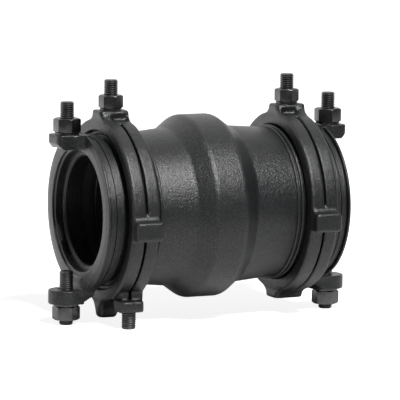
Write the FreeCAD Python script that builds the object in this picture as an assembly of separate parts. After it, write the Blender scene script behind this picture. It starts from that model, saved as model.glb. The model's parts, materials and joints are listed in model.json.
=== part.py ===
import FreeCAD, Part
import math
import os
from FreeCAD import Vector

# Restrained pipe coupling in cast iron: a barrel with a raised middle band, and at each end a grooved
# collar, an end ring with two lugs, a gasket and a grip ring. Millimetres, +Z up. The pipe axis lies
# along X. Everything is drawn about that axis and lifted by axis_height when it is written.

# Pipe, and the play left between neighbours
pipe_radius = 59.0
pipe_clearance = 1.5
gasket_clearance = 3.0
seat_gap = 0.2

# Radial build-up of one end, from the pipe outwards
grip_wall = 9.5
grip_hold = 2.5
hub_wall = 9.8
rim_rise = 8.0
gasket_section = 14.5
socket_wall = 9.0
collar_thickness = 17.8

# Stations along the axis, for one end
split_plane = 108.2
collar_width = 33.0
ring_gap = 1.8
ring_width = 21.5
neck_inset = 6.7
gasket_length = 20.0

# Barrel
wall = 10.5
bead_height = 2.5
bead_width = 3.5
bead_pitch = 5.2
bead_clear = 1.2
bead_round = 1.4
flank_end_rise = 0.6
flank_root_rise = 4.5
band_rise = 18.5
band_flat = 35.0
band_foot = 74.0
band_offset = -5.0
band_round = 9.0
throat_rise = 5.5
throat_length = 9.0
mouth_edge = 1.0

# Collar
collar_edge = 3.0
collar_mouth_gap = 4.5
collar_mouth_depth = 4.5
slot_width = 2.4
slot_depth = 7.0
slot_start = 24.0
boss_rise = 9.0
bottom_boss_rise = 8.0
long_boss_rise = 18.5
long_boss_lean = 4.0
long_boss_taper = 0.55
long_boss_corner = 6.0
long_boss_edge = 4.0
boss_half_length = 18.0
boss_half_width = 13.0
boss_corner = 5.0
boss_foot_half_length = 15.5
boss_foot_half_width = 33.0
boss_foot_drop = 9.0
boss_edge = 2.0
# Height over the foot, and how much of the foot's spread is left there, along and across the pipe
boss_sweep = [(0.0, 1.0, 1.0), (4.5, 1.0, 0.74), (8.0, 0.7, 0.43), (11.0, 0.35, 0.18), (14.0, 0.1, 0.05)]
pocket_depth = 3.5
pocket_cap = 4.0
pocket_height = 7.5
pocket_inboard = 14.0
pocket_outboard = 5.5
pocket_round = 2.5
block_half_length = 15.5
block_rise = 11.0
block_top = -1.0
block_bottom = -22.0
block_sweep = 7.0
block_edge = 2.5
block_end_round = 2.0
foot_lug_y = 53.5
foot_lug_half_width = 13.0
foot_lug_inner_half = 10.5
foot_lug_half_length = 14.0
foot_lug_drop = 5.0
foot_lug_height = 13.0
foot_lug_corner = 5.0
foot_lug_edge = 3.5

# End ring
rim_width = 4.0
band_step = 3.2
groove_width = 1.2
groove_depth = 1.6
face_slope_width = 8.0
face_slope_depth = 1.0
ledge_width = 3.9
ledge_depth = 2.0
grip_depth = 9.5
lug_half_width = 16.0
lug_reach = 29.5
lug_root = 6.0
lug_corner = 6.0
lug_flare = 6.0
top_lug_drop = 2.0
top_lug_thickness = 16.5
bottom_lug_drop = 1.5
bottom_lug_thickness = 16.0
bottom_lug_radius = 20.0
lug_chamfer = 7.0
stud_offset = 12.5
spot_clearance = 0.8

# Grip ring
grip_edge = 0.8
grip_cone = 2.5
grip_cone_rise = 1.5

# Studs, nuts and washers
stud_radius = 8.0
stud_chamfer = 1.3
hole_clearance = 0.5
thread_clearance = 0.05
stud_seat = 4.0
collar_stud_proud = 16.9
top_stud_proud = 18.0
bottom_stud_proud = 5.5
bottom_stud_free = 20.5
top_stud_inset = 1.0
collar_nut_height = 14.8
ring_nut_height = 16.0
collar_nut_flats = 24.0
ring_nut_flats = 27.0
nut_face_share = 0.97
nut_chamfer_angle = 30.0
washer_thickness = 2.0
nut_angles = {
    "left_collar": 33.0, "left_top": 30.0, "left_bottom": 33.0,
    "right_collar": 32.0, "right_top": 24.0, "right_bottom": 28.0,
}

# Worked out from the sizes above
bore_radius = pipe_radius + pipe_clearance
gasket_radius = pipe_radius + gasket_clearance
grip_outer = bore_radius + grip_wall
mouth_radius = grip_outer - grip_hold
ledge_radius = mouth_radius + ledge_width
hub_radius = grip_outer + seat_gap + hub_wall
rim_radius = hub_radius + rim_rise
ring_band_radius = rim_radius - band_step
throat_radius = bore_radius + throat_rise
socket_radius = bore_radius + gasket_section
neck_radius = socket_radius + socket_wall
flank_end_radius = neck_radius + flank_end_rise
flank_root_radius = neck_radius + flank_root_rise
band_radius = neck_radius + band_rise
collar_bore = neck_radius + seat_gap
collar_radius = collar_bore + collar_thickness
collar_in = split_plane - collar_width / 2
collar_out = split_plane + collar_width / 2
neck_end = collar_out - neck_inset
ring_start = collar_out + ring_gap
ring_face = ring_start + ring_width
grip_front = ring_face - grip_depth
socket_floor = neck_end - gasket_length
bead_end = collar_in - bead_clear
bead_start = bead_end - bead_pitch - bead_width
boss_top = collar_radius + boss_rise
stud_station = ring_face + stud_offset
lug_end = ring_face + lug_reach
top_lug_z = rim_radius - top_lug_drop
bottom_lug_z = -rim_radius + bottom_lug_drop
bottom_lug_under = bottom_lug_z - bottom_lug_thickness
foot_lug_under = -collar_radius - foot_lug_drop
foot_level = bottom_lug_under - washer_thickness - ring_nut_height - bottom_stud_proud
axis_height = -foot_level


def to_vector(a, b, plane):
    """Point (a, b) of a drawing plane as a vector."""
    if plane == "XZ":
        return Vector(a, 0, b)
    if plane == "YZ":
        return Vector(0, a, b)
    return Vector(a, b, 0)


def outline_wire(points, plane="XZ"):
    """Closed wire from (a, b) or (a, b, radius) points, with each radius as a tangent arc."""
    count = len(points)
    corners = []
    for i, point in enumerate(points):
        here = to_vector(point[0], point[1], plane)
        radius = point[2] if len(point) > 2 else 0
        before = to_vector(points[i - 1][0], points[i - 1][1], plane) - here
        after = to_vector(points[(i + 1) % count][0], points[(i + 1) % count][1], plane) - here
        if radius == 0:
            corners.append((here, here, None))
            continue
        reach = radius / math.tan(before.getAngle(after) / 2)
        before.normalize()
        after.normalize()
        middle = before + after
        middle.normalize()
        distance = math.hypot(radius, reach)
        corners.append((here + before * reach, here + after * reach, here + middle * (distance - radius)))
    edges = []
    for i, (start, end, crown) in enumerate(corners):
        if crown is not None:
            edges.append(Part.Arc(start, crown, end).toShape())
        follow = corners[(i + 1) % count][0]
        if end.distanceToPoint(follow) > 1e-6:
            edges.append(Part.LineSegment(end, follow).toShape())
    return Part.Wire(edges)


def outline(points, plane="XZ"):
    """Closed face with that wire round it."""
    return Part.Face(outline_wire(points, plane))


def turned_about_pipe(points):
    """Solid of revolution about the pipe axis from (x, r[, radius]) points."""
    return outline(points).revolve(Vector(0, 0, 0), Vector(1, 0, 0), 360)


def turned_upright(points, x, y=0.0):
    """Solid of revolution about a vertical line from (r, z[, radius]) points."""
    solid = outline(points).revolve(Vector(0, 0, 0), Vector(0, 0, 1), 360)
    return solid.translate(Vector(x, y, 0))


def slab_along_y(points, half):
    """XZ outline pulled to both sides of the middle plane."""
    return outline(points, "XZ").extrude(Vector(0, 2 * half, 0)).translate(Vector(0, -half, 0))


def slab_along_x(points, start, end):
    """YZ outline pulled from one station to another."""
    return outline(points, "YZ").extrude(Vector(end - start, 0, 0)).translate(Vector(start, 0, 0))


def slab_upright(points, low, high):
    """XY outline pulled up from one height to another."""
    return outline(points, "XY").extrude(Vector(0, 0, high - low)).translate(Vector(0, 0, low))


def bar_along_x(start, end, radius):
    """Cylinder about the pipe axis."""
    return Part.makeCylinder(radius, end - start, Vector(start, 0, 0), Vector(1, 0, 0))


def upright_hole(x, y, z_low, z_high, radius):
    """Cylinder to cut, upright."""
    return Part.makeCylinder(radius, z_high - z_low, Vector(x, y, z_low))


def to_end(solid, side):
    """A piece drawn for the right end, turned end for end for the left one."""
    if side == "left":
        solid = solid.copy()
        solid.rotate(Vector(0, 0, 0), Vector(0, 0, 1), 180)
    return solid


def barrel():
    """Double cone with a raised band, two beads at each neck and a gasket socket in each mouth."""
    def half_outside(sign):
        first = sign * bead_start
        second = first + sign * bead_pitch
        crest = flank_end_radius + bead_height
        return [
            (band_offset + sign * band_flat / 2, band_radius, band_round),
            (band_offset + sign * band_foot / 2, flank_root_radius, band_round),
            (first, flank_end_radius),
            (first, crest, bead_round),
            (first + sign * bead_width, crest, bead_round),
            (first + sign * bead_width, flank_end_radius),
            (second, flank_end_radius),
            (second, crest, bead_round),
            (second + sign * bead_width, crest, bead_round),
            (second + sign * bead_width, neck_radius),
            (sign * neck_end, neck_radius, mouth_edge),
        ]

    def half_inside(sign):
        throat_end = socket_floor - throat_length
        return [
            (sign * neck_end, socket_radius, mouth_edge),
            (sign * socket_floor, socket_radius),
            (sign * socket_floor, throat_radius, mouth_edge),
            (sign * throat_end, throat_radius, mouth_edge),
            (sign * (throat_end - wall), flank_end_radius - wall, 3 * mouth_edge),
            (band_offset + sign * band_foot / 2, flank_root_radius - wall, band_round),
            (band_offset + sign * band_flat / 2, band_radius - wall, band_round),
        ]
    left_out = list(reversed(half_outside(-1)))
    right_out = half_outside(1)
    right_in = half_inside(1)
    left_in = list(reversed(half_inside(-1)))
    return turned_about_pipe(left_out + right_out + right_in + left_in)


def boss(rise, corner=boss_corner, edge_radius=boss_edge, lean=0.0, taper=1.0):
    """Boss on the rim, drawn upwards: a rounded block whose foot sweeps out into the rim on all sides."""
    wires = []
    total = boss_foot_drop + rise
    for height, along, across in boss_sweep + [(total, 0.0, 0.0)]:
        share = height / total
        middle = split_plane + lean * share
        size = 1.0 - (1.0 - taper) * share
        half_length = (boss_half_length + (boss_foot_half_length - boss_half_length) * along) * size
        half_width = (boss_half_width + (boss_foot_half_width - boss_half_width) * across) * size
        wire = outline_wire([
            (middle - half_length, -half_width, corner),
            (middle + half_length, -half_width, corner),
            (middle + half_length, half_width, corner),
            (middle - half_length, half_width, corner),
        ], "XY")
        wires.append(wire.translate(Vector(0, 0, collar_radius - boss_foot_drop + height)))
    body = Part.makeLoft(wires, True)
    top = collar_radius + rise
    crown = [edge for edge in body.Edges if all(abs(v.Z - top) < 0.01 for v in edge.Vertexes)]
    return body.makeFillet(edge_radius, crown)


def side_block(sign):
    """Block that bridges the slot beside the pipe, a little under the middle height."""
    inner = collar_radius - 2 * slot_depth
    face = collar_radius - seat_gap
    reach = collar_radius + block_rise
    start = split_plane - block_half_length
    end = split_plane + block_half_length
    body = slab_along_x([
        (sign * inner, block_top + block_sweep * 1.5),
        (sign * face, block_top + block_sweep, block_sweep),
        (sign * face, block_top, block_sweep * 0.9),
        (sign * reach, block_top, block_edge),
        (sign * reach, block_bottom, block_edge),
        (sign * inner, block_bottom),
    ], start, end)
    rims = [edge for edge in body.Edges
            if all(min(abs(v.X - start), abs(v.X - end)) < 0.01 for v in edge.Vertexes)
            and abs(edge.Vertexes[0].X - edge.Vertexes[-1].X) < 0.01
            and min(abs(v.Y) for v in edge.Vertexes) > collar_radius]
    return body.makeFillet(block_end_round, rims)


def foot_lug():
    """Flat-topped lug low on the left collar that takes a short stud pointing down."""
    outer = foot_lug_y + foot_lug_half_width
    inner = foot_lug_y - foot_lug_inner_half
    top = foot_lug_under + foot_lug_height
    shelf_start = math.sqrt(collar_radius ** 2 - top ** 2) - slot_depth
    side_view = slab_along_x([
        (inner, foot_lug_under, foot_lug_edge),
        (outer, foot_lug_under, foot_lug_edge),
        (outer, top, boss_edge),
        (shelf_start, top),
        (inner, -collar_radius + slot_depth),
    ], collar_in, collar_out)
    start = split_plane - foot_lug_half_length
    end = split_plane + foot_lug_half_length
    plan = slab_upright([
        (start, inner - slot_depth),
        (end, inner - slot_depth),
        (end, outer, foot_lug_corner),
        (start, outer, foot_lug_corner),
    ], foot_lug_under - 1, top + slot_depth * 2)
    return side_view.common(plan)


def foot_stud_top():
    """Upper end of the foot stud: it stops inside the rim."""
    return -math.sqrt(collar_radius ** 2 - (foot_lug_y + stud_radius) ** 2) - stud_seat


def slot_ring():
    """The narrow slot round the rim, stopped short of the bosses."""
    floor = collar_radius - slot_depth
    low = split_plane - slot_width / 2
    high = split_plane + slot_width / 2
    ring = turned_about_pipe([(low, floor), (high, floor), (high, collar_radius + 1), (low, collar_radius + 1)])
    reach = collar_radius * 2
    stop = Part.makeBox(collar_width, slot_start * 2, reach * 2,
                        Vector(collar_in, -slot_start, -reach))
    return ring.cut(stop)


def pocket(sign):
    """Hollow under the cap of the top boss, on both of its long sides and set off towards the barrel."""
    top = boss_top - pocket_cap
    near = sign * (boss_half_width - pocket_depth)
    far = sign * (boss_half_width + boss_foot_half_width) / 2
    start = split_plane - pocket_inboard
    body = Part.makeBox(pocket_inboard + pocket_outboard, abs(far - near), pocket_height,
                        Vector(start, min(near, far), top - pocket_height))
    across = [edge for edge in body.Edges if abs(edge.tangentAt(edge.FirstParameter).y) > 0.9]
    return body.makeFillet(pocket_round, across)


def collar(side):
    """Grooved clamp collar in one casting, with a stud boss on top and a plain boss underneath."""
    body = turned_about_pipe([
        (collar_in, collar_bore + collar_mouth_gap, collar_edge / 2),
        (collar_in, collar_radius, collar_edge),
        (collar_out, collar_radius, collar_edge),
        (collar_out, collar_bore + collar_mouth_gap, collar_edge / 2),
        (neck_end, collar_bore + collar_mouth_gap),
        (neck_end, collar_bore),
        (collar_in + collar_mouth_depth, collar_bore),
    ])
    body = body.fuse(boss(boss_rise))
    if side == "right":
        under = boss(bottom_boss_rise)
    else:
        under = boss(long_boss_rise, long_boss_corner, long_boss_edge, long_boss_lean, long_boss_taper)
    under.rotate(Vector(split_plane, 0, 0), Vector(1, 0, 0), 180)
    body = body.fuse(under)
    body = body.cut(slot_ring())
    for sign in (-1, 1):
        body = body.fuse(side_block(sign))
        body = body.cut(pocket(sign))
    body = body.cut(upright_hole(split_plane, 0, collar_bore + stud_seat, boss_top + 1,
                                 stud_radius + seat_gap))
    if side == "left":
        body = body.fuse(foot_lug())
        body = body.cut(upright_hole(split_plane, foot_lug_y, foot_lug_under - 1, foot_stud_top(),
                                     stud_radius + seat_gap))
    body = body.cut(bar_along_x(collar_in - 1, collar_out + 1, collar_bore))
    return body.removeSplitter()


def top_lug():
    """Square lug over the mouth, chamfered under its outer end and swept into the ring's face."""
    low = top_lug_z - top_lug_thickness
    start = ring_face - lug_root
    side_view = slab_along_y([
        (start, top_lug_z),
        (lug_end, top_lug_z, boss_edge),
        (lug_end, low + lug_chamfer, boss_edge),
        (lug_end - lug_chamfer, low, boss_edge),
        (start, low),
    ], lug_half_width + lug_flare)
    plan = slab_upright([
        (start, -lug_half_width - lug_flare),
        (ring_face, -lug_half_width - lug_flare),
        (ring_face + lug_flare, -lug_half_width, lug_corner),
        (lug_end, -lug_half_width, lug_corner),
        (lug_end, lug_half_width, lug_corner),
        (ring_face + lug_flare, lug_half_width, lug_corner),
        (ring_face, lug_half_width + lug_flare),
        (start, lug_half_width + lug_flare),
    ], low - 1, top_lug_z + 1)
    return side_view.common(plan)


def bottom_lug():
    """Lug under the mouth with a round end, on a neck that flares into the ring."""
    low = bottom_lug_under
    neck_half = bottom_lug_radius - 2.0
    spread = neck_half * 2.4
    neck_top = -ring_band_radius + lug_root * 2
    round_end = upright_hole(stud_station, 0, low, bottom_lug_z, bottom_lug_radius)
    side_view = slab_along_y([
        (ring_start + rim_width * 2, neck_top),
        (ring_face, neck_top),
        (ring_face, bottom_lug_z, collar_edge),
        (stud_station, bottom_lug_z),
        (stud_station, low),
        (ring_face + rim_width, low, rim_width),
        (ring_start + rim_width * 2, bottom_lug_z - lug_root, collar_edge),
    ], spread)
    front_view = slab_along_x([
        (-neck_half, low),
        (neck_half, low),
        (neck_half, bottom_lug_z - 2.0, lug_flare + 2.0),
        (spread, neck_top),
        (-spread, neck_top),
        (-neck_half, bottom_lug_z - 2.0, lug_flare + 2.0),
    ], ring_start, stud_station)
    return side_view.common(front_view).fuse(round_end)


def end_ring():
    """Outermost ring: ribbed band, sloped face, stepped mouth and two lugs."""
    first_groove = ring_face - rim_width
    second_groove = ring_start + ring_width / 2
    groove_floor = ring_band_radius - groove_depth
    lip_back = grip_front + seat_gap
    body = turned_about_pipe([
        (neck_end, grip_outer + seat_gap),
        (neck_end, hub_radius),
        (ring_start, hub_radius),
        (ring_start, ring_band_radius, groove_width),
        (second_groove - groove_width, ring_band_radius),
        (second_groove - groove_width, groove_floor),
        (second_groove, groove_floor),
        (second_groove, ring_band_radius),
        (first_groove - groove_width, ring_band_radius),
        (first_groove - groove_width, groove_floor),
        (first_groove, groove_floor),
        (first_groove, rim_radius, mouth_edge),
        (ring_face - face_slope_depth, rim_radius, mouth_edge),
        (ring_face, rim_radius - face_slope_width, collar_edge),
        (ring_face, ledge_radius, mouth_edge),
        (ring_face - ledge_depth, ledge_radius),
        (ring_face - ledge_depth, mouth_radius, mouth_edge),
        (lip_back, mouth_radius),
        (lip_back, grip_outer + seat_gap),
    ])
    body = body.fuse(top_lug())
    body = body.fuse(bottom_lug())
    body = body.cut(bar_along_x(ring_start, lug_end + 1, mouth_radius))
    body = body.cut(bar_along_x(ring_face - ledge_depth, lug_end + 1, ledge_radius))
    spot = ring_nut_flats / math.sqrt(3) + spot_clearance
    body = body.cut(upright_hole(stud_station, 0, top_lug_z, rim_radius + 1, spot))
    radius = stud_radius + hole_clearance
    body = body.cut(upright_hole(stud_station, 0, 0, top_lug_z + 1, radius))
    body = body.cut(upright_hole(stud_station, 0, bottom_lug_under - 1, 0, radius))
    return body.removeSplitter()


def gasket():
    """Rubber ring in the socket: heel against the socket floor, lip towards the pipe."""
    outer = socket_radius - seat_gap
    section = outer - gasket_radius
    return turned_about_pipe([
        (socket_floor, gasket_radius + section * 0.4, mouth_edge),
        (socket_floor, outer, mouth_edge),
        (neck_end, outer, mouth_edge),
        (neck_end, gasket_radius, mouth_edge),
        (neck_end - gasket_length * 0.55, gasket_radius, 2 * mouth_edge),
    ])


def grip_ring():
    """Cast ring that grips the pipe, coned a little at its mouth."""
    return turned_about_pipe([
        (neck_end, bore_radius),
        (neck_end, grip_outer, grip_edge),
        (grip_front, grip_outer, grip_edge),
        (grip_front, bore_radius + grip_cone_rise, grip_edge),
        (grip_front - grip_cone, bore_radius),
    ])


def stud(x, y, low, high):
    """Plain stud at the thread's outside size, chamfered at both ends."""
    return turned_upright([
        (0, low),
        (stud_radius - stud_chamfer, low),
        (stud_radius, low + stud_chamfer),
        (stud_radius, high - stud_chamfer),
        (stud_radius - stud_chamfer, high),
        (0, high),
    ], x, y)


def nut(x, low, flats, height, angle):
    """Hexagon nut with its corners chamfered on both faces."""
    corner = flats / math.sqrt(3)
    ring = [Vector(corner * math.cos(math.radians(angle + 60 * i)),
                   corner * math.sin(math.radians(angle + 60 * i)), low) for i in range(6)]
    hexagon = Part.Face(Part.makePolygon(ring + [ring[0]])).extrude(Vector(0, 0, height))
    face_radius = flats / 2 * nut_face_share
    drop = (corner - face_radius) * math.tan(math.radians(nut_chamfer_angle))
    rounding = turned_upright([
        (0, low),
        (face_radius, low),
        (corner, low + drop),
        (corner, low + height - drop),
        (face_radius, low + height),
        (0, low + height),
    ], 0)
    body = hexagon.common(rounding)
    body = body.cut(upright_hole(0, 0, low - 1, low + height + 1, stud_radius + thread_clearance))
    return body.translate(Vector(x, 0, 0))


def washer(x, low, flats):
    """Plain washer as wide as the nut is across its flats."""
    body = Part.makeCylinder(flats / 2, washer_thickness, Vector(x, 0, low))
    return body.cut(upright_hole(x, 0, low - 1, low + washer_thickness + 1, stud_radius + hole_clearance))


def fastening(name, x, seat, up, flats, height, stud_low, stud_high):
    """Stud, washer and nut at one seat; up is 1 where the nut stands on it and -1 where it hangs."""
    washer_low = seat if up > 0 else seat - washer_thickness
    nut_low = seat + washer_thickness if up > 0 else seat - washer_thickness - height
    return {
        name + "_stud": stud(x, 0, stud_low, stud_high),
        name + "_washer": washer(x, washer_low, flats),
        name + "_nut": nut(x, nut_low, flats, height, nut_angles[name]),
    }


def fastenings(side):
    """Studs, nuts and washers of one end."""
    sign = -1 if side == "left" else 1
    collar_tip = boss_top + washer_thickness + collar_nut_height + collar_stud_proud
    top_tip = top_lug_z + washer_thickness + ring_nut_height + top_stud_proud
    top_foot = top_lug_z - top_lug_thickness + top_stud_inset
    parts = fastening(side + "_collar", sign * split_plane, boss_top, 1, collar_nut_flats,
                      collar_nut_height, collar_bore + stud_seat, collar_tip)
    parts.update(fastening(side + "_top", sign * stud_station, top_lug_z, 1, ring_nut_flats,
                           ring_nut_height, top_foot, top_tip))
    parts.update(fastening(side + "_bottom", sign * stud_station, bottom_lug_under, -1, ring_nut_flats,
                           ring_nut_height, foot_level, bottom_lug_z + bottom_stud_free))
    return parts


def all_parts():
    """Every node of the coupling, by name, about the pipe axis."""
    parts = {"barrel": barrel()}
    for side in ("left", "right"):
        parts[side + "_collar"] = to_end(collar(side), side)
        parts[side + "_end_ring"] = to_end(end_ring(), side)
        parts[side + "_gasket"] = to_end(gasket(), side)
        parts[side + "_grip_ring"] = to_end(grip_ring(), side)
        parts.update(fastenings(side))
    parts["foot_stud"] = stud(-split_plane, -foot_lug_y, foot_level, foot_stud_top())
    return parts


os.makedirs("parts", exist_ok=True)
for node, solid in all_parts().items():
    solid = solid.copy()
    solid.translate(Vector(0, 0, axis_height))
    box = solid.BoundBox
    print("%-20s solids %d valid %s volume %9.0f  x %.1f..%.1f y %.1f..%.1f z %.1f..%.1f" % (
        node, len(solid.Solids), solid.isValid(), solid.Volume,
        box.XMin, box.XMax, box.YMin, box.YMax, box.ZMin, box.ZMax))
    solid.exportStep("parts/%s.step" % node)
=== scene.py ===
import json
import math

import bpy
from mathutils import Matrix, Vector

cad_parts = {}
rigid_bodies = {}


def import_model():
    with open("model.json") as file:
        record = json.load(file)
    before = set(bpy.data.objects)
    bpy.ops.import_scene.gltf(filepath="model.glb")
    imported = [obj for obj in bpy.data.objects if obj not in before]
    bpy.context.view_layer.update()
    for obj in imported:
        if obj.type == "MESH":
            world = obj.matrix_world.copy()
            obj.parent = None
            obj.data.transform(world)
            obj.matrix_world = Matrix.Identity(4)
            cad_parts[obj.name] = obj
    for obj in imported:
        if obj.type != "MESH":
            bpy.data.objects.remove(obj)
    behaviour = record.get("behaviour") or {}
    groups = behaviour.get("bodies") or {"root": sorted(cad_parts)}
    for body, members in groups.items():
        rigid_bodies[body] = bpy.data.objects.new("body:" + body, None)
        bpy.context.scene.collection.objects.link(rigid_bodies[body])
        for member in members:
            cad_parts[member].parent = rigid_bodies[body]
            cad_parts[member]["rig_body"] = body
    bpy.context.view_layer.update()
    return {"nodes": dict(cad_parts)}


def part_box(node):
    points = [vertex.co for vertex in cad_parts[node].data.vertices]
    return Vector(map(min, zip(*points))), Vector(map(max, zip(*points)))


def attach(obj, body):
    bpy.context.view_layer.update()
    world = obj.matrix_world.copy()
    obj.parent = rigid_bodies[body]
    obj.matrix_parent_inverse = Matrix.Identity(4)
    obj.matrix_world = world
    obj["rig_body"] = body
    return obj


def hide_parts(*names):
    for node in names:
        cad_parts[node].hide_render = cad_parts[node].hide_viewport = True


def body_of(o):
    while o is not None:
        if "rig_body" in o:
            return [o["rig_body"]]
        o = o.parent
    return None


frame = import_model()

bpy.ops.object.select_all(action="DESELECT")
nodes = frame["nodes"]
print("frame loaded:", len(nodes), "nodes")

pipeAxisHeight = 0.126      # over the floor, as in the CAD


# Where the picture is taken from: a long lens, a little above the pipe and to its left
photoView = {
    "turnDeg": 24.91,       # how far the camera looks round towards +X
    "downDeg": 7.41,
    "rollDeg": 0.57,
    "distance": 4.18259,
    "lensMm": 335.67,
    "sensorMm": 36.0,
    "aimRight": 0.00158,    # the picture's middle, from the coupling's middle on the pipe's axis
    "aimUp": 0.00542,
    "clipNear": 0.1, "clipFar": 50,
}


def addCamera(view):
    turn, down, roll = (math.radians(view[key]) for key in ("turnDeg", "downDeg", "rollDeg"))
    look = Vector((math.cos(down) * math.sin(turn), math.cos(down) * math.cos(turn),
                   -math.sin(down)))
    right = Vector((math.cos(turn), -math.sin(turn), 0))
    up = right.cross(look)
    right, up = (math.cos(roll) * right + math.sin(roll) * up,
                 math.cos(roll) * up - math.sin(roll) * right)
    place = Vector((0, 0, pipeAxisHeight))
    place += right * view["aimRight"] + up * view["aimUp"] - look * view["distance"]
    bpy.ops.object.camera_add(location=place)
    camera = bpy.context.object
    camera.name = "photoCamera"
    camera.matrix_world = Matrix((
        (right.x, up.x, -look.x, place.x),
        (right.y, up.y, -look.y, place.y),
        (right.z, up.z, -look.z, place.z),
        (0, 0, 0, 1),
    ))
    camera.data.lens = view["lensMm"]
    camera.data.sensor_width = view["sensorMm"]
    camera.data.clip_start = view["clipNear"]
    camera.data.clip_end = view["clipFar"]
    bpy.context.scene.camera = camera


# Colours are sRGB hex, turned to linear here
def linear(hexColour):
    channels = [int(hexColour[i:i + 2], 16) / 255 for i in (1, 3, 5)]
    return tuple(c / 12.92 if c <= 0.04045 else ((c + 0.055) / 1.055) ** 2.4
                 for c in channels) + (1.0,)


def perMetre(sizeMm):
    return 1000 / sizeMm    # texture scale for a pattern of this size


# Settings and links go by a socket's name, and other settings are the node's own
def addNode(tree, kind, settings=None, links=None):
    node = tree.nodes.new(kind)
    for name, value in (settings or {}).items():
        if name in node.inputs:
            node.inputs[name].default_value = value
        else:
            setattr(node, name, value)
    for name, source in (links or {}).items():
        tree.links.new(source, node.inputs[name])
    return node


def setRamp(node, stops, hexColours):
    ramp = node.color_ramp
    while len(ramp.elements) > 1:
        ramp.elements.remove(ramp.elements[-1])
    for i, (position, hexColour) in enumerate(zip(stops, hexColours)):
        element = ramp.elements[0] if i == 0 else ramp.elements.new(position)
        element.position = position
        element.color = linear(hexColour)


def newMaterial(name):
    material = bpy.data.materials.new(name)
    material.use_nodes = True
    tree = material.node_tree
    tree.nodes.clear()
    return material, tree


def finishMaterial(tree, shader):
    addNode(tree, "ShaderNodeOutputMaterial", links={"Surface": shader.outputs[0]})


# Grey iron, sand cast and dipped in black bitumen: a satin skin that keeps the grain of the mould
# Grain and specks are drawn coarser and deeper than the real sand's, so that they show
castIron = {
    "tones": ("#090a0b", "#121314", "#28292b"), "toneStops": (0.32, 0.52, 0.74),
    "grainMm": 1.4, "grainDepthMm": 0.55,
    "peelMm": 6.0, "peelDepthMm": 0.30,         # where the thick coat has sagged
    "cloudMm": 38.0, "cloudLow": 0.85, "cloudHigh": 1.15,
    "speckMm": 1.2, "speckFrom": 0.38, "speckTo": 0.62,
    "roughLow": 0.30, "roughHigh": 0.41,
    "ior": 1.5, "specularLow": 0.40, "specularHigh": 0.68,
}


def makeCastIron(spec):
    material, tree = newMaterial("coatedCastIron")
    place = addNode(tree, "ShaderNodeTexCoord").outputs["Object"]
    grain = addNode(tree, "ShaderNodeTexNoise",
                    {"Scale": perMetre(spec["grainMm"]), "Detail": 3.0, "Roughness": 0.6},
                    {"Vector": place})
    peel = addNode(tree, "ShaderNodeTexNoise",
                   {"Scale": perMetre(spec["peelMm"]), "Detail": 2.0}, {"Vector": place})
    cloud = addNode(tree, "ShaderNodeTexNoise",
                    {"Scale": perMetre(spec["cloudMm"]), "Detail": 3.0}, {"Vector": place})
    grainTone = addNode(tree, "ShaderNodeValToRGB", links={"Fac": grain.outputs["Fac"]})
    setRamp(grainTone, spec["toneStops"], spec["tones"])
    cloudTone = addNode(tree, "ShaderNodeMapRange",
                        {"To Min": spec["cloudLow"], "To Max": spec["cloudHigh"]},
                        {"Value": cloud.outputs["Fac"]})
    tone = addNode(tree, "ShaderNodeVectorMath", {"operation": "SCALE"},
                   {"Vector": grainTone.outputs["Color"], "Scale": cloudTone.outputs["Result"]})
    rough = addNode(tree, "ShaderNodeMapRange",
                    {"To Min": spec["roughLow"], "To Max": spec["roughHigh"]},
                    {"Value": grain.outputs["Fac"]})
    peelBump = addNode(tree, "ShaderNodeBump", {"Distance": spec["peelDepthMm"] / 1000},
                       {"Height": peel.outputs["Fac"]})
    grainBump = addNode(tree, "ShaderNodeBump", {"Distance": spec["grainDepthMm"] / 1000},
                        {"Height": grain.outputs["Fac"], "Normal": peelBump.outputs["Normal"]})
    speck = addNode(tree, "ShaderNodeTexNoise",
                    {"Scale": perMetre(spec["speckMm"]), "Detail": 1.0}, {"Vector": place})
    sparkle = addNode(tree, "ShaderNodeMapRange",
                      {"From Min": spec["speckFrom"], "From Max": spec["speckTo"],
                       "To Min": spec["specularLow"], "To Max": spec["specularHigh"]},
                      {"Value": speck.outputs["Fac"]})
    shader = addNode(tree, "ShaderNodeBsdfPrincipled", {"IOR": spec["ior"]},
                     {"Base Color": tone.outputs["Vector"], "Roughness": rough.outputs["Result"],
                      "Specular IOR Level": sparkle.outputs["Result"],
                      "Normal": grainBump.outputs["Normal"]})
    finishMaterial(tree, shader)
    return material


# Steel bar and nuts, hot blackened and oiled: dark metal, so it mirrors more than the castings do
# The oxide's grain is drawn coarser than it is, so that it shows
blackSteel = {
    "tones": ("#585859", "#686869"), "toneStops": (0.35, 0.7),
    "grainMm": 0.7, "grainDepthMm": 0.006, "cloudMm": 9.0,
    "roughLow": 0.28, "roughHigh": 0.36,
}


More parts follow.
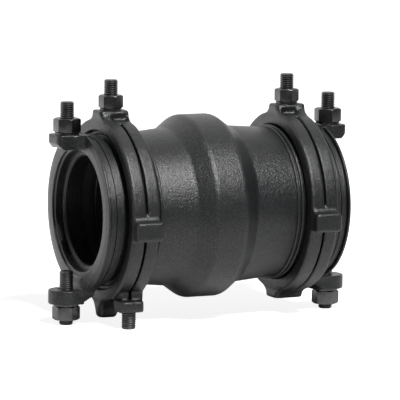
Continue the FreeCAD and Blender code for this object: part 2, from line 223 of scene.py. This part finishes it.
def makeBlackSteel(spec):
    material, tree = newMaterial("blackenedSteel")
    place = addNode(tree, "ShaderNodeTexCoord").outputs["Object"]
    grain = addNode(tree, "ShaderNodeTexNoise",
                    {"Scale": perMetre(spec["grainMm"]), "Detail": 2.0}, {"Vector": place})
    cloud = addNode(tree, "ShaderNodeTexNoise",
                    {"Scale": perMetre(spec["cloudMm"]), "Detail": 2.0}, {"Vector": place})
    tone = addNode(tree, "ShaderNodeValToRGB", links={"Fac": cloud.outputs["Fac"]})
    setRamp(tone, spec["toneStops"], spec["tones"])
    rough = addNode(tree, "ShaderNodeMapRange",
                    {"To Min": spec["roughLow"], "To Max": spec["roughHigh"]},
                    {"Value": cloud.outputs["Fac"]})
    bump = addNode(tree, "ShaderNodeBump", {"Distance": spec["grainDepthMm"] / 1000},
                   {"Height": grain.outputs["Fac"]})
    shader = addNode(tree, "ShaderNodeBsdfPrincipled", {"Metallic": 1.0},
                     {"Base Color": tone.outputs["Color"], "Roughness": rough.outputs["Result"],
                      "Normal": bump.outputs["Normal"]})
    finishMaterial(tree, shader)
    return material


# Moulded rubber: nearly black and dull, with the mould's matt blast drawn coarser so that it shows
rubber = {
    "tones": ("#101011", "#1b1b1c"), "toneStops": (0.35, 0.7),
    "grainMm": 0.8, "grainDepthMm": 0.04, "rough": 0.72,
}


def makeRubber(spec):
    material, tree = newMaterial("mouldedRubber")
    place = addNode(tree, "ShaderNodeTexCoord").outputs["Object"]
    grain = addNode(tree, "ShaderNodeTexNoise",
                    {"Scale": perMetre(spec["grainMm"]), "Detail": 2.0}, {"Vector": place})
    tone = addNode(tree, "ShaderNodeValToRGB", links={"Fac": grain.outputs["Fac"]})
    setRamp(tone, spec["toneStops"], spec["tones"])
    bump = addNode(tree, "ShaderNodeBump", {"Distance": spec["grainDepthMm"] / 1000},
                   {"Height": grain.outputs["Fac"]})
    shader = addNode(tree, "ShaderNodeBsdfPrincipled", {"Roughness": spec["rough"]},
                     {"Base Color": tone.outputs["Color"], "Normal": bump.outputs["Normal"]})
    finishMaterial(tree, shader)
    return material


def dressNode(node, material):
    node.data.materials.clear()
    node.data.materials.append(material)


def deselectAll():
    for other in list(bpy.context.selected_objects):
        other.select_set(False)


def makeActive(piece):
    deselectAll()
    piece.select_set(True)
    bpy.context.view_layer.objects.active = piece


def editMesh(piece, mode="VERT"):
    makeActive(piece)
    bpy.ops.object.mode_set(mode="EDIT")
    bpy.ops.mesh.select_mode(type=mode)


def leaveEdit():
    bpy.ops.object.mode_set(mode="OBJECT")


squareOn = 0.9      # a face looks along an axis where its normal's share of it is over this


def pickFaces(piece, wanted):
    editMesh(piece, "FACE")
    bpy.ops.mesh.select_all(action="DESELECT")
    leaveEdit()
    for face in piece.data.polygons:
        face.select = wanted(face)
    bpy.ops.object.mode_set(mode="EDIT")


def addModifier(piece, kind, **settings):
    modifier = piece.modifiers.new(kind.title(), kind)
    for name, value in settings.items():
        setattr(modifier, name, value)
    return modifier


def applyAll(piece):
    makeActive(piece)
    for modifier in list(piece.modifiers):
        bpy.ops.object.modifier_apply(modifier=modifier.name)


def combine(piece, tool, operation):
    addModifier(piece, "BOOLEAN", operation=operation, object=tool, solver="EXACT")
    applyAll(piece)
    bpy.data.objects.remove(tool, do_unlink=True)


def settle(piece):
    makeActive(piece)
    bpy.ops.object.transform_apply(location=True, rotation=True, scale=True)


def smoothShade(piece, degrees):
    makeActive(piece)
    bpy.ops.object.shade_smooth_by_angle(angle=math.radians(degrees))


def finishPiece(piece, nodeName, material):
    settle(piece)
    dressNode(piece, material)
    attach(piece, body_of(nodes[nodeName])[0])
    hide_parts(nodeName)


def nodeBox(name):
    low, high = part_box(name)
    return Vector(low), Vector(high)


def sideSign(name):
    return -1 if name.startswith("left") else 1


# The short stud under the left collar ends inside its flat lug, and a plug closes the hole over it
# Over the lug, the slotted rim runs straight down on to it, on both sides of its slot
# Places are in mm from the coupling's middle and the pipe's axis
footLug = {
    "stationMm": -108.2, "sideMm": -53.5, "topMm": -94.0, "studTopMm": -95.5,
    "plugRadiusMm": 8.6, "plugSides": 48, "plugOverlapMm": 1.0, "plugSinkMm": 0.05,
    "rimSides": [((-118.0, -57.5, -95.0), (-109.4, -38.0, -84.2)),
                 ((-107.0, -57.5, -95.0), (-92.6, -38.0, -84.2))],
}


# Rolled coarse thread on a 16 mm bar: narrow crests, rounded roots, a chamfer at both ends
# Its pitch is drawn coarser than the real 2 mm, so that it shows
threadForm = {
    "outsideMm": 15.9, "pitchMm": 2.4, "depthMm": 0.85, "crestMm": 0.35, "rootMm": 0.25,
    "stepsPerTurn": 40, "spareTurns": 4, "mergeMm": 0.02,
    "rodSides": 64, "rodMarginMm": 0.05, "chamferMm": 1.7, "smoothDeg": 28,
}


def makeThreadedStud(name, form):
    low, high = nodeBox(name)
    if name == "foot_stud":
        high.z = pipeAxisHeight + footLug["studTopMm"] / 1000
    outside = form["outsideMm"] / 2000
    pitch = form["pitchMm"] / 1000
    depth = form["depthMm"] / 1000
    crest = form["crestMm"] / 1000
    root = form["rootMm"] / 1000
    flank = (pitch - crest - root) / 2
    spare = form["spareTurns"]

    # A small plane is merged to one point, drawn out into the thread's outline and turned up
    bpy.ops.mesh.primitive_plane_add(size=0.001, location=(0, 0, 0))
    stud = bpy.context.object
    stud.name = name + "Threaded"
    editMesh(stud)
    bpy.ops.mesh.select_all(action="SELECT")
    bpy.ops.mesh.merge(type="CENTER")
    bpy.ops.transform.translate(value=(outside - depth, 0, low.z - spare / 2 * pitch))
    for step in ((0, 0, root), (depth, 0, flank), (0, 0, crest), (-depth, 0, flank)):
        bpy.ops.mesh.extrude_region_move(TRANSFORM_OT_translate={"value": step})
    leaveEdit()
    turns = math.ceil((high.z - low.z) / pitch) + spare
    steps = form["stepsPerTurn"]
    addModifier(stud, "SCREW", axis="Z", angle=2 * math.pi, screw_offset=pitch,
                iterations=turns, steps=steps, render_steps=steps)
    applyAll(stud)
    editMesh(stud)
    bpy.ops.mesh.select_all(action="SELECT")
    bpy.ops.mesh.remove_doubles(threshold=form["mergeMm"] / 1000)
    bpy.ops.mesh.select_all(action="DESELECT")
    bpy.ops.mesh.select_non_manifold()
    bpy.ops.mesh.fill_holes(sides=0)
    bpy.ops.mesh.select_all(action="SELECT")
    bpy.ops.mesh.quads_convert_to_tris()
    bpy.ops.mesh.normals_make_consistent(inside=False)
    leaveEdit()

    # A chamfered rod cuts the screw to the stud's length
    bpy.ops.mesh.primitive_cylinder_add(vertices=form["rodSides"],
                                        radius=outside + form["rodMarginMm"] / 1000,
                                        depth=high.z - low.z,
                                        location=(0, 0, (low.z + high.z) / 2))
    rod = bpy.context.object
    pickFaces(rod, lambda face: abs(face.normal.z) > squareOn)
    bpy.ops.mesh.select_mode(type="EDGE")
    bpy.ops.mesh.bevel(offset=form["chamferMm"] / 1000, segments=1)
    leaveEdit()
    settle(rod)
    combine(stud, rod, "INTERSECT")
    stud.location = ((low.x + high.x) / 2, (low.y + high.y) / 2, 0)
    smoothShade(stud, form["smoothDeg"])
    return stud


# Hexagon nuts, hot forged and machined: corners turned off at 30 degrees, bore countersunk
nutForms = {
    "collarNut": {"flatsMm": 24.0, "heightMm": 14.8},
    "ringNut": {"flatsMm": 27.0, "heightMm": 16.0},
}
nutMaking = {
    "boreMm": 16.1, "boreSpareMm": 0.2, "sinkMm": 0.9,
    "faceShare": 0.955,         # the round end face, as a share of the width across flats
    "coneDeg": 30.0, "coneSides": 96, "cornerTurnDeg": 30,
    "edgeMm": 0.45, "edgeSegments": 3, "edgeFromDeg": 20, "smoothDeg": 30,
}
# How far each nut stands turned in the picture, in degrees from +X to a corner
nutAngles = {
    "left_collar_nut": 33, "left_top_nut": 30, "left_bottom_nut": 33,
    "right_collar_nut": 32, "right_top_nut": 24, "right_bottom_nut": 28,
}


# A round bar whose ends slope to another radius over the last drop of its height
def makeCone(sides, radius, endRadius, height, drop):
    bpy.ops.mesh.primitive_cylinder_add(vertices=sides, radius=radius, depth=height - 2 * drop)
    cone = bpy.context.object
    for sign in (-1, 1):
        pickFaces(cone, lambda face: face.normal.z * sign > squareOn)
        share = endRadius / radius
        bpy.ops.mesh.extrude_region_move(TRANSFORM_OT_translate={"value": (0, 0, sign * drop)})
        bpy.ops.transform.resize(value=(share, share, 1), center_override=(0, 0, sign * height / 2))
        leaveEdit()
    return cone


def makeNutMaster(name, form, making):
    flats = form["flatsMm"] / 1000
    height = form["heightMm"] / 1000
    corner = flats / math.sqrt(3)
    face = flats / 2 * making["faceShare"]
    drop = (corner - face) * math.tan(math.radians(making["coneDeg"]))
    bore = making["boreMm"] / 2000
    sink = making["sinkMm"] / 1000
    # A hexagon's first corner stands on +Y, so this turn puts a corner on +X
    bpy.ops.mesh.primitive_cylinder_add(vertices=6, radius=corner, depth=height,
                                        rotation=(0, 0, math.radians(making["cornerTurnDeg"])))
    master = bpy.context.object
    master.name = name
    settle(master)
    combine(master, makeCone(making["coneSides"], corner, face, height, drop), "INTERSECT")
    hole = makeCone(making["coneSides"], bore, bore + sink,
                    height + making["boreSpareMm"] / 1000, sink)
    combine(master, hole, "DIFFERENCE")
    addModifier(master, "BEVEL", width=making["edgeMm"] / 1000, segments=making["edgeSegments"],
                limit_method="ANGLE", angle_limit=math.radians(making["edgeFromDeg"]),
                use_clamp_overlap=False)
    applyAll(master)
    smoothShade(master, making["smoothDeg"])
    return master


def copyNut(master, name):
    low, high = nodeBox(name)
    nut = master.copy()
    nut.data = master.data.copy()
    nut.name = name + "Forged"
    bpy.context.collection.objects.link(nut)
    nut.rotation_euler = (0, 0, math.radians(nutAngles[name]))
    nut.location = (low + high) / 2
    return nut


# Sand castings: no corner is sharp, and the skin is never quite even
# Inner corners inside the blends' boxes are filled more, and the pockets' floors are raised
# Boxes are near and far corners on the right side, in mm from the coupling's middle and the
# pipe's axis, and the left side has them mirrored
collarCast = {
    "voxelMm": 1.0, "smoothRounds": 6, "smoothFactor": 0.5,
    "unevenMm": 0.22, "unevenSizeMm": 9.0,
    "pocketFloors": [((93, -12.0, 99), (114.5, -8.5, 107.5)),
                     ((93, 8.5, 99), (114.5, 12.0, 107.5))],
    "blends": [
        {"rounds": 14, "boxes": [((88, 95, -34), (128, 116, 16)), ((88, -116, -34), (128, -95, 16)),
                                 ((88, -36, 96), (128, 36, 109)), ((88, -36, -112), (128, 36, -96)),
                                 ((88, -70, -104), (128, -34, -84))]},
        {"rounds": 34, "boxes": [((90, -28, 97), (118, -7, 112)),
                                 ((90, 7, 97), (118, 28, 112))]},
        {"rounds": 14, "boxes": [((90, -70, -110), (126, -42, -90))]},
    ],
}
# The lugs of an end ring are softened, and its turned faces and grooves stay crisp
# Lugs are kept inside the zone, and the ring is cut away outboard of cutFrom
lugCast = {
    "voxelMm": 0.6, "smoothRounds": 18, "smoothFactor": 0.5,
    "zone": ((141, -34, -115), (182, 34, 115)), "cutFrom": 148.3,
    "blends": [
        {"rounds": 40, "boxes": [((146, 12, 66), (160, 30, 92)), ((146, -30, 66), (160, -12, 92)),
                                 ((146, -34, -110), (158, 34, -82))]},
    ],
}
# Flat stretches of the ring are cleaned to large faces, so that its shading runs even
ringMesh = {"flatDeg": 0.5, "quadFlatDeg": 4, "quadShapeDeg": 60, "smoothDeg": 30}
weldMm = 0.001      # a CAD node is loose triangles, welded where they meet


# From mm about the coupling's middle and the pipe's axis to the frame
def toFrame(x, y, z, sign=1):
    return Vector((sign * x / 1000, y / 1000, z / 1000 + pipeAxisHeight))


def copyPart(name):
    source = nodes[name]
    piece = source.copy()
    piece.data = source.data.copy()
    piece.name = name + "Cast"
    for key in list(piece.keys()):
        del piece[key]      # the copy is a new piece, so it drops the node's labels
    bpy.context.collection.objects.link(piece)
    piece.parent = None
    piece.matrix_world = Matrix.Identity(4)
    editMesh(piece)
    bpy.ops.mesh.select_all(action="SELECT")
    bpy.ops.mesh.remove_doubles(threshold=weldMm / 1000)
    leaveEdit()
    return piece


def makeBlock(low, high, sign=1):
    near, far = toFrame(*low, sign), toFrame(*high, sign)
    size = far - near
    bpy.ops.mesh.primitive_cube_add(size=1, location=(near + far) / 2)
    block = bpy.context.object
    block.scale = (abs(size.x), abs(size.y), abs(size.z))
    settle(block)
    return block


def joinPieces(piece, extra):
    makeActive(piece)
    for other in extra:
        other.select_set(True)
    bpy.ops.object.join()
    return piece


# Remeshed and smoothed as a casting: first in the blends' boxes, then all over
def softenCast(piece, form, sign):
    addModifier(piece, "REMESH", mode="VOXEL", voxel_size=form["voxelMm"] / 1000,
                use_smooth_shade=True)
    applyAll(piece)
    for number, blend in enumerate(form["blends"]):
        chosen = []
        for vertex in piece.data.vertices:
            x, y, z = vertex.co * 1000
            x *= sign
            z -= pipeAxisHeight * 1000
            if any(low[0] < x < high[0] and low[1] < y < high[1] and low[2] < z < high[2]
                   for low, high in blend["boxes"]):
                chosen.append(vertex.index)
        group = piece.vertex_groups.new(name="blend" + str(number))
        group.add(chosen, 1.0, "REPLACE")
        addModifier(piece, "SMOOTH", factor=form["smoothFactor"], iterations=blend["rounds"],
                    vertex_group=group.name)
        applyAll(piece)
    addModifier(piece, "SMOOTH", factor=form["smoothFactor"], iterations=form["smoothRounds"])
    if "unevenMm" in form:
        clouds = bpy.data.textures.new(piece.name + "Uneven", "CLOUDS")
        clouds.noise_scale = form["unevenSizeMm"] / 1000
        addModifier(piece, "DISPLACE", texture=clouds, texture_coords="LOCAL", mid_level=0.5,
                    strength=form["unevenMm"] / 1000)
    applyAll(piece)
    smoothShade(piece, 180)     # no edge stays sharp


def makeFootFill(lug):
    low, high = lug["studTopMm"] - lug["plugOverlapMm"], lug["topMm"] - lug["plugSinkMm"]
    middle = toFrame(lug["stationMm"], lug["sideMm"], (low + high) / 2)
    bpy.ops.mesh.primitive_cylinder_add(vertices=lug["plugSides"],
                                        radius=lug["plugRadiusMm"] / 1000,
                                        depth=(high - low) / 1000, location=middle)
    plug = bpy.context.object
    settle(plug)
    return [plug] + [makeBlock(near, far) for near, far in lug["rimSides"]]


def makeCollarCast(name, form):
    collar = copyPart(name)
    sign = sideSign(name)
    joinPieces(collar, [makeBlock(low, high, sign) for low, high in form["pocketFloors"]])
    if name == "left_collar":
        joinPieces(collar, makeFootFill(footLug))
    softenCast(collar, form, sign)
    return collar


def makeRingCast(name, form):
    sign = sideSign(name)
    ring, lugs = copyPart(name), copyPart(name)
    low, high = form["zone"]
    combine(lugs, makeBlock(low, high, sign), "INTERSECT")
    combine(ring, makeBlock((form["cutFrom"], low[1], low[2]), high, sign), "DIFFERENCE")
    softenCast(lugs, form, sign)
    editMesh(ring)
    bpy.ops.mesh.select_all(action="SELECT")
    bpy.ops.mesh.dissolve_limited(angle_limit=math.radians(ringMesh["flatDeg"]))
    bpy.ops.mesh.tris_convert_to_quads(face_threshold=math.radians(ringMesh["quadFlatDeg"]),
                                       shape_threshold=math.radians(ringMesh["quadShapeDeg"]))
    leaveEdit()
    smoothShade(ring, ringMesh["smoothDeg"])
    addModifier(ring, "WEIGHTED_NORMAL", keep_sharp=True)
    applyAll(ring)
    return joinPieces(ring, [lugs])


# A dim room with a white backdrop and floor, one softbox above the near side, and painted shade on
# the floor close to the object
# Each edge is where along Y something fades in: the pale paper, and what mirrors see of the
# paper and of the backdrop
studio = {
    "floorSize": 16.0, "floorColour": "#2a2a2a", "paperColour": "#e9e9e9",
    "paperEdge": (-0.75, -0.35), "mirrorEdge": (0.0, 0.5), "backdropEdge": (-0.15, 0.35),
    # The floor's glow is weaker near the object: painted shade around it, fading out by farM
    "nearM": 0.3, "paintedShadeLift": 0.86, "farM": 0.8, "farLift": 1.0,    # darker near the object
    "roomLevel": 0.10,
    "lamps": [
        {"name": "keySoftbox", "place": (0.0, -1.9, 2.3), "size": (0.65, 0.5), "watts": 132},
    ],
}


def farShare(tree, way, edge):
    split = addNode(tree, "ShaderNodeSeparateXYZ", links={"Vector": way})
    return addNode(tree, "ShaderNodeMapRange", {"From Min": edge[0], "From Max": edge[1]},
                   {"Value": split.outputs["Y"]}).outputs["Result"]


def seenLevel(tree, behind):
    # White to the camera everywhere, and to mirrors and glass only on the far side, like a backdrop
    path = addNode(tree, "ShaderNodeLightPath")
    mirrored = addNode(tree, "ShaderNodeMath", {"operation": "MAXIMUM"})
    tree.links.new(path.outputs["Is Glossy Ray"], mirrored.inputs[0])
    tree.links.new(path.outputs["Is Transmission Ray"], mirrored.inputs[1])
    backdrop = addNode(tree, "ShaderNodeMath", {"operation": "MULTIPLY"})
    tree.links.new(mirrored.outputs[0], backdrop.inputs[0])
    tree.links.new(behind, backdrop.inputs[1])
    seen = addNode(tree, "ShaderNodeMath", {"operation": "MAXIMUM"})
    tree.links.new(path.outputs["Is Camera Ray"], seen.inputs[0])
    tree.links.new(backdrop.outputs[0], seen.inputs[1])
    return seen.outputs[0]


def addStudio(spec):
    bpy.ops.mesh.primitive_plane_add(size=spec["floorSize"], location=(0, 0, 0))
    floor = bpy.context.object
    floor.name = "studioFloor"
    material, tree = newMaterial("palePaper")
    place = addNode(tree, "ShaderNodeTexCoord").outputs["Object"]
    seen = seenLevel(tree, farShare(tree, place, spec["mirrorEdge"]))
    onPaper = farShare(tree, place, spec["paperEdge"])
    # The glow is weakest close to the object, as painted shade on the floor around it
    reach = addNode(tree, "ShaderNodeVectorMath", {"operation": "LENGTH"}, {"Vector": place})
    level = addNode(tree, "ShaderNodeMapRange",
                    {"From Min": spec["nearM"], "From Max": spec["farM"],
                     "To Min": spec["paintedShadeLift"], "To Max": spec["farLift"]},
                    {"Value": reach.outputs["Value"]})
    lift = addNode(tree, "ShaderNodeMath", {"operation": "MULTIPLY"})
    tree.links.new(seen, lift.inputs[0])
    tree.links.new(level.outputs["Result"], lift.inputs[1])
    glow = addNode(tree, "ShaderNodeEmission", links={"Strength": lift.outputs[0]})
    tone = addNode(tree, "ShaderNodeMix", {"data_type": "RGBA"})
    tree.links.new(onPaper, tone.inputs[0])
    # A Mix node's colours are its seventh and eighth inputs
    tone.inputs[6].default_value = linear(spec["floorColour"])
    tone.inputs[7].default_value = linear(spec["paperColour"])
    paper = addNode(tree, "ShaderNodeBsdfDiffuse", links={"Color": tone.outputs[2]})
    both = addNode(tree, "ShaderNodeAddShader")
    tree.links.new(paper.outputs[0], both.inputs[0])
    tree.links.new(glow.outputs[0], both.inputs[1])
    finishMaterial(tree, both)
    dressNode(floor, material)

    world = bpy.data.worlds.new("studioRoom")
    bpy.context.scene.world = world
    world.use_nodes = True
    tree = world.node_tree
    tree.nodes.clear()
    away = addNode(tree, "ShaderNodeTexCoord").outputs["Generated"]
    seen = seenLevel(tree, farShare(tree, away, spec["backdropEdge"]))
    level = addNode(tree, "ShaderNodeMapRange", {"To Min": spec["roomLevel"], "To Max": 1.0},
                    {"Value": seen})
    room = addNode(tree, "ShaderNodeBackground", links={"Strength": level.outputs["Result"]})
    room.inputs["Color"].default_value = (1, 1, 1, 1)
    addNode(tree, "ShaderNodeOutputWorld", links={"Surface": room.outputs[0]})

    centre = Vector((0, 0, pipeAxisHeight))
    for lamp in spec["lamps"]:
        place = Vector(lamp["place"])
        bpy.ops.object.light_add(type="AREA", location=place)
        light = bpy.context.object
        light.name = lamp["name"]
        light.rotation_euler = (centre - place).to_track_quat("-Z", "Y").to_euler()
        light.data.shape = "RECTANGLE"
        light.data.size, light.data.size_y = lamp["size"]
        light.data.energy = lamp["watts"]


addCamera(photoView)
addStudio(studio)
print("camera and studio set")

coatedCastIron = makeCastIron(castIron)
blackenedSteel = makeBlackSteel(blackSteel)
mouldedRubber = makeRubber(rubber)
for name, node in nodes.items():
    if name.endswith("washer"):
        dressNode(node, blackenedSteel)
    elif name.endswith("gasket"):
        dressNode(node, mouldedRubber)
    elif not name.endswith(("stud", "nut")):
        dressNode(node, coatedCastIron)
print("nodes dressed")

for name in [name for name in nodes if name.endswith("stud")]:
    finishPiece(makeThreadedStud(name, threadForm), name, blackenedSteel)
print("studs threaded")

nutMasters = {name: makeNutMaster(name, form, nutMaking) for name, form in nutForms.items()}
for name in [name for name in nodes if name.endswith("nut")]:
    master = nutMasters["collarNut" if "collar" in name else "ringNut"]
    finishPiece(copyNut(master, name), name, blackenedSteel)
for master in nutMasters.values():
    bpy.data.objects.remove(master, do_unlink=True)
print("nuts made")

for end in ("left", "right"):
    for part, makeCast, form in (("_collar", makeCollarCast, collarCast),
                                 ("_end_ring", makeRingCast, lugCast)):
        finishPiece(makeCast(end + part, form), end + part, coatedCastIron)
print("collars and end rings cast")

bpy.context.scene.view_settings.view_transform = "Standard"
